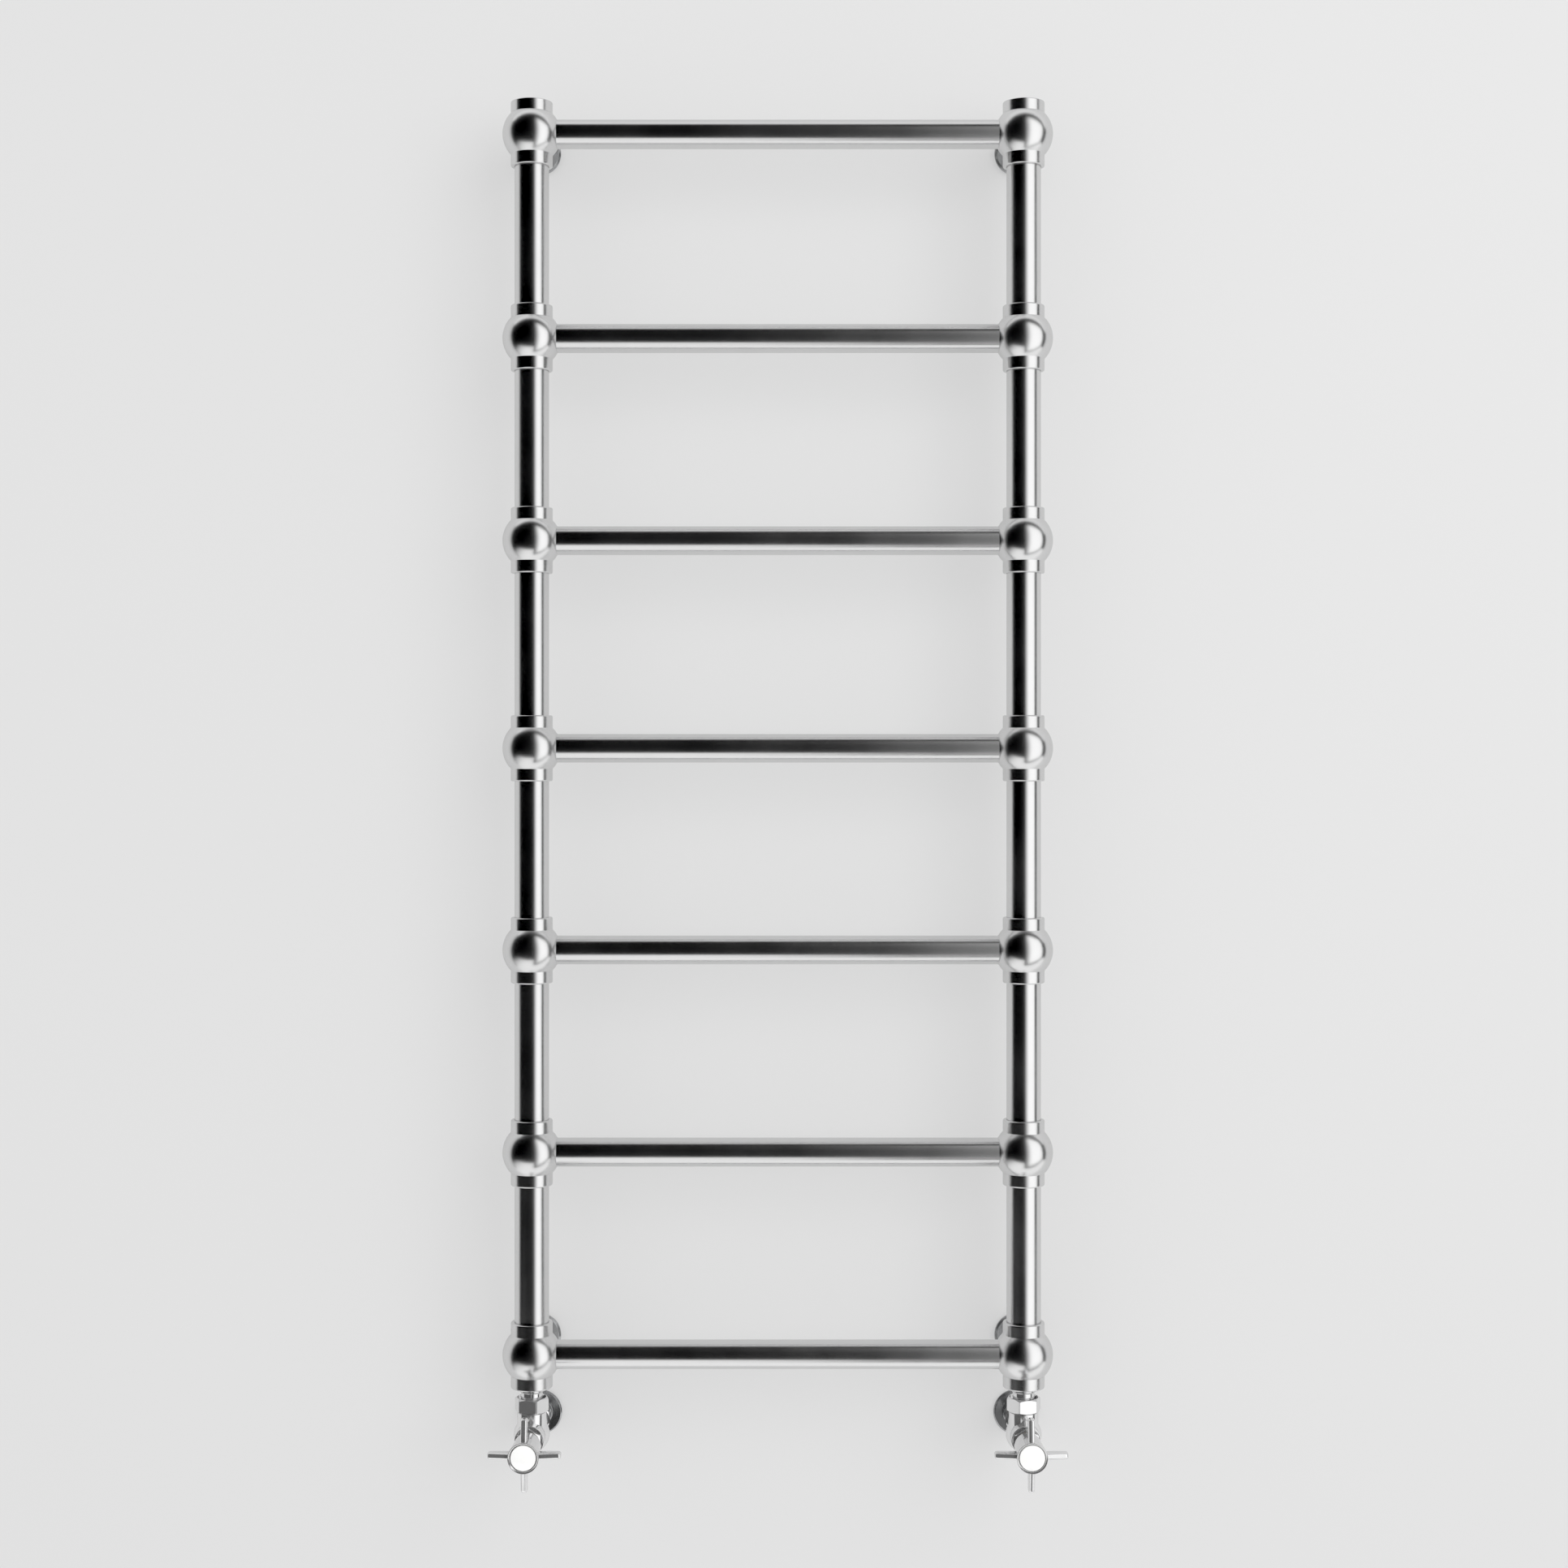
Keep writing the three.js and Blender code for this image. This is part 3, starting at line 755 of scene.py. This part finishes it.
def build_ladder():
    last = RAIL_COUNT - 1
    middle_joint = finish_mesh(ball_joint(-1), "middle_joint")
    for side, sign in SIDES.items():
        ends = {0: finish_mesh(ball_joint(sign, is_bottom=True), f"bottom_joint_{side}"),
                last: finish_mesh(ball_joint(sign, is_top=True), f"top_joint_{side}")}
        for i, height in enumerate(RAIL_HEIGHTS):
            turn = math.pi if sign > 0 and i not in ends else 0
            place(ends.get(i, middle_joint), f"ball_joint_{side}_{i + 1}", on_post(side, height), turn)
    posts = {}
    for i in range(last):
        gap = round((RAIL_HEIGHTS[i + 1] - RAIL_HEIGHTS[i]) / MM, 2)
        if gap not in posts:
            posts[gap] = finish_mesh(tube(POST, gap - 2 * JOINT["stop"] - 2 * FIT), f"post_tube_{i + 1}")
        centre_height = (RAIL_HEIGHTS[i] + RAIL_HEIGHTS[i + 1]) / 2
        for side in SIDES:
            place(posts[gap], f"post_{side}_{i + 1}", on_post(side, centre_height))
    span = (POST_AXIS["right"].x - POST_AXIS["left"].x) / MM
    rail = finish_mesh(tube(RAIL, span - 2 * JOINT["rail_stop"] - 2 * FIT, ACROSS), "rail_tube")
    for i in range(RAIL_COUNT):
        place(rail, f"rail_{i + 1}", middle(f"rail_{i + 1}"))
    bracket = finish_mesh(wall_bracket(), "wall_bracket")
    for side in SIDES:
        for end, height in (("bottom", RAIL_HEIGHTS[0]), ("top", RAIL_HEIGHTS[last])):
            foot = (POST_AXIS[side].x, 0, height)
            place(bracket, f"wall_bracket_{end}_{side}", foot, finish="satin_chrome")
    fittings = [
        ("air_vent_plug", air_vent_plug, "left"),
        ("bleed_screw", bleed_screw, "left"),
        ("blanking_plug", blanking_plug, "right"),
    ]
    for name, shape, side in fittings:
        place(finish_mesh(shape(), name), name, on_post(side, RAIL_HEIGHTS[last]))


def build_valves():
    shared = {
        "valve_body": valve_body(), "radiator_tail": radiator_tail(), "valve_bonnet": valve_bonnet(),
        "valve_spindle": valve_spindle(), "valve_plug": valve_plug(), "cross_handle": cross_handle(),
        "handle_insert": handle_insert(), "compression_nut": compression_nut(),
    }
    for name, mesh in shared.items():
        finish_mesh(mesh, name)
    rose = finish_mesh(pipe_rose(), "pipe_rose")
    for side, sign in SIDES.items():
        centre = on_post(side, VALVE_HEIGHT)
        for name, mesh in shared.items():
            place(mesh, f"{name}_{side}", centre)
        place(finish_mesh(union_nut(sign), f"union_nut_{side}"), f"union_nut_{side}", centre)
        place(rose, f"pipe_rose_{side}", (centre.x, 0, centre.z), finish="satin_chrome")


# --- Stage: a pale wall and floor under soft lamps, and glowing cards that only the chrome reflects ---

def facing_front(left, right, low, high, y):
    return [(left, y, low), (right, y, low), (right, y, high), (left, y, high)]


def facing_side(near, far, low, high, x):
    return [(x, near, low), (x, far, low), (x, far, high), (x, near, high)]


def lying(left, right, near, far, z):
    return [(left, near, z), (right, near, z), (right, far, z), (left, far, z)]


def card(name, corners, material, camera=False, diffuse=False, glossy=True):
    """A flat stage panel through four corners."""
    mesh = bpy.data.meshes.new(name)
    mesh.from_pydata(corners, [], [(0, 1, 2, 3)])
    layer = mesh.uv_layers.new()
    for loop, corner in zip(layer.data, ((0, 0), (1, 0), (1, 1), (0, 1))):
        loop.uv = corner
    mesh.materials.append(material)
    panel = bpy.data.objects.new(name, mesh)
    bpy.context.scene.collection.objects.link(panel)
    panel.visible_camera = camera
    panel.visible_diffuse = diffuse
    panel.visible_glossy = glossy
    panel.visible_transmission = False
    panel.visible_shadow = False


def pale_matt(name, tone, one_sided=False, fill=0.0):
    """Matt paint; fill is an even light of its own that softens the shadows on it."""
    material, nodes, links, shader = new_material(name)
    shader.inputs["Base Color"].default_value = (tone, tone, tone, 1)
    shader.inputs["Emission Color"].default_value = (1, 1, 1, 1)
    shader.inputs["Emission Strength"].default_value = fill
    shader.inputs["Roughness"].default_value = 0.9
    shader.inputs["Specular IOR Level"].default_value = 0.0
    if one_sided:
        geometry = nodes.new("ShaderNodeNewGeometry")
        clear = nodes.new("ShaderNodeBsdfTransparent")
        mix = nodes.new("ShaderNodeMixShader")
        links.new(geometry.outputs["Backfacing"], mix.inputs["Fac"])
        links.new(shader.outputs[0], mix.inputs[1])
        links.new(clear.outputs[0], mix.inputs[2])
        links.new(mix.outputs[0], nodes["Material Output"].inputs["Surface"])
    return material


def glow(name, strength, fade):
    """Light from a card. It fades towards the card's edges, as the note on the stage's settings says."""
    material = bpy.data.materials.new(name)
    material.use_nodes = True
    nodes, links = material.node_tree.nodes, material.node_tree.links
    nodes.remove(nodes["Principled BSDF"])
    place_on = nodes.new("ShaderNodeTexCoord")
    parts = nodes.new("ShaderNodeSeparateXYZ")
    links.new(place_on.outputs["UV"], parts.inputs[0])
    level = None
    for axis, low, high in (("X", fade[0], fade[1]), ("Y", fade[2], fade[3])):
        for start, end in ((0, low), (1, 1 - high)):
            ramp = nodes.new("ShaderNodeMapRange")
            ramp.interpolation_type = "SMOOTHSTEP"
            ramp.inputs["From Min"].default_value = min(start, end)
            ramp.inputs["From Max"].default_value = max(start, end) + 1e-4
            ramp.inputs["To Min"].default_value = 0 if start < 0.5 else 1
            ramp.inputs["To Max"].default_value = 1 if start < 0.5 else 0
            links.new(parts.outputs[axis], ramp.inputs["Value"])
            if level is None:
                level = ramp.outputs["Result"]
            else:
                product = nodes.new("ShaderNodeMath")
                product.operation = "MULTIPLY"
                links.new(level, product.inputs[0])
                links.new(ramp.outputs["Result"], product.inputs[1])
                level = product.outputs[0]
    scale = nodes.new("ShaderNodeMath")
    scale.operation = "MULTIPLY"
    scale.inputs[1].default_value = strength
    links.new(level, scale.inputs[0])
    light = nodes.new("ShaderNodeEmission")
    links.new(scale.outputs[0], light.inputs["Strength"])
    links.new(light.outputs[0], nodes["Material Output"].inputs["Surface"])
    return material


def lamp(name, location, size, power):
    """A soft area lamp that lights matt surfaces but doesn't show in the chrome."""
    data = bpy.data.lights.new(name, "AREA")
    data.shape = "RECTANGLE"
    data.size, data.size_y = size
    data.energy = power
    item = bpy.data.objects.new(name, data)
    bpy.context.scene.collection.objects.link(item)
    item.location = location
    item.rotation_euler = (Vector(LAMP_TARGET) - Vector(location)).to_track_quat("-Z", "Y").to_euler()
    item.visible_camera = False
    item.visible_glossy = False


def build_world():
    """Pale to the camera, dark in front and pale behind to the chrome, and even to matt surfaces."""
    world = bpy.data.worlds.new("studio")
    bpy.context.scene.world = world
    world.use_nodes = True
    nodes, links = world.node_tree.nodes, world.node_tree.links
    base = nodes["Background"]
    base.inputs["Strength"].default_value = 1.0
    path = nodes.new("ShaderNodeLightPath")
    direction = nodes.new("ShaderNodeTexCoord")
    parts = nodes.new("ShaderNodeSeparateXYZ")
    links.new(direction.outputs["Generated"], parts.inputs[0])
    behind = nodes.new("ShaderNodeMapRange")
    behind.inputs["From Min"].default_value, behind.inputs["From Max"].default_value = SKY["blend"]
    links.new(parts.outputs["Y"], behind.inputs["Value"])

    def blend(factor, a, b):
        mix = nodes.new("ShaderNodeMix")
        mix.data_type = "RGBA"
        links.new(factor, mix.inputs["Factor"])
        for value, name in ((a, "A"), (b, "B")):
            if isinstance(value, float):
                mix.inputs[name].default_value = (value, value, value, 1)
            else:
                links.new(value, mix.inputs[name])
        return mix.outputs["Result"]

    mirrored = blend(behind.outputs["Result"], SKY["front"], SKY["back"])
    unseen = blend(path.outputs["Is Glossy Ray"], SKY["ambient"], mirrored)
    links.new(blend(path.outputs["Is Camera Ray"], unseen, SKY["camera"]), base.inputs["Color"])


def glowing_card(name, light_name, corners, settings):
    card(name, corners, glow(light_name, settings["strength"], settings["fade"]))


def build_stage():
    floor_z = RAIL_HEIGHTS[0] - STAGE["floor_below"]
    half, back = STAGE["half"], STAGE["back"]
    wall_paint = pale_matt("wall_paint", WALL_TONE, one_sided=True, fill=WALL_FILL)
    back_wall = facing_front(-half, half, floor_z, STAGE["top"], back)
    card("back_wall", back_wall, wall_paint, camera=True, diffuse=True)
    studio_floor = lying(-half, half, -half, back, floor_z)
    card("studio_floor", studio_floor, pale_matt("floor_paint", FLOOR_TONE), camera=True, glossy=False)

    glow_z = floor_z + FLOOR_GLOW["lift"]
    left, right, y = SOFT_BOX["left"], SOFT_BOX["right"], SOFT_BOX["y"]
    floor_card = lying(-half, half, FLOOR_GLOW["front"], back, glow_z)
    glowing_card("floor_glow", "floor_light", floor_card, FLOOR_GLOW)
    soft_box = facing_front(left, right, floor_z, SOFT_BOX["top"], y)
    glowing_card("soft_box", "soft_box_light", soft_box, SOFT_BOX)
    left_card = facing_side(LEFT_GLOW["front"], back, floor_z, LEFT_GLOW["top"], LEFT_GLOW["x"])
    glowing_card("left_glow", "left_light", left_card, LEFT_GLOW)
    ceiling_card = lying(-half, half, CEILING_GLOW["front"], back, CEILING_GLOW["height"])
    glowing_card("ceiling_glow", "ceiling_light", ceiling_card, CEILING_GLOW)

    lamp("key_light", **KEY_LIGHT)
    lamp("fill_light", **FILL_LIGHT)


def build_camera():
    """The camera stands square to the wall, a little above the ladder's middle, with a small lens shift."""
    data = bpy.data.cameras.new("camera")
    data.sensor_width = CAMERA["sensor"]
    data.lens = CAMERA["lens"]
    data.shift_x, data.shift_y = CAMERA["shift"]
    camera = bpy.data.objects.new("camera", data)
    bpy.context.scene.collection.objects.link(camera)
    camera.location = CAMERA["location"]
    camera.rotation_euler = (math.radians(90), 0, 0)
    bpy.context.scene.camera = camera


build_camera()
build_ladder()
build_valves()
build_world()
build_stage()
grading = bpy.context.scene.view_settings
grading.view_transform = "Standard"
grading.use_curve_mapping = True
grading.curve_mapping.black_level = (BLACK_POINT,) * 3
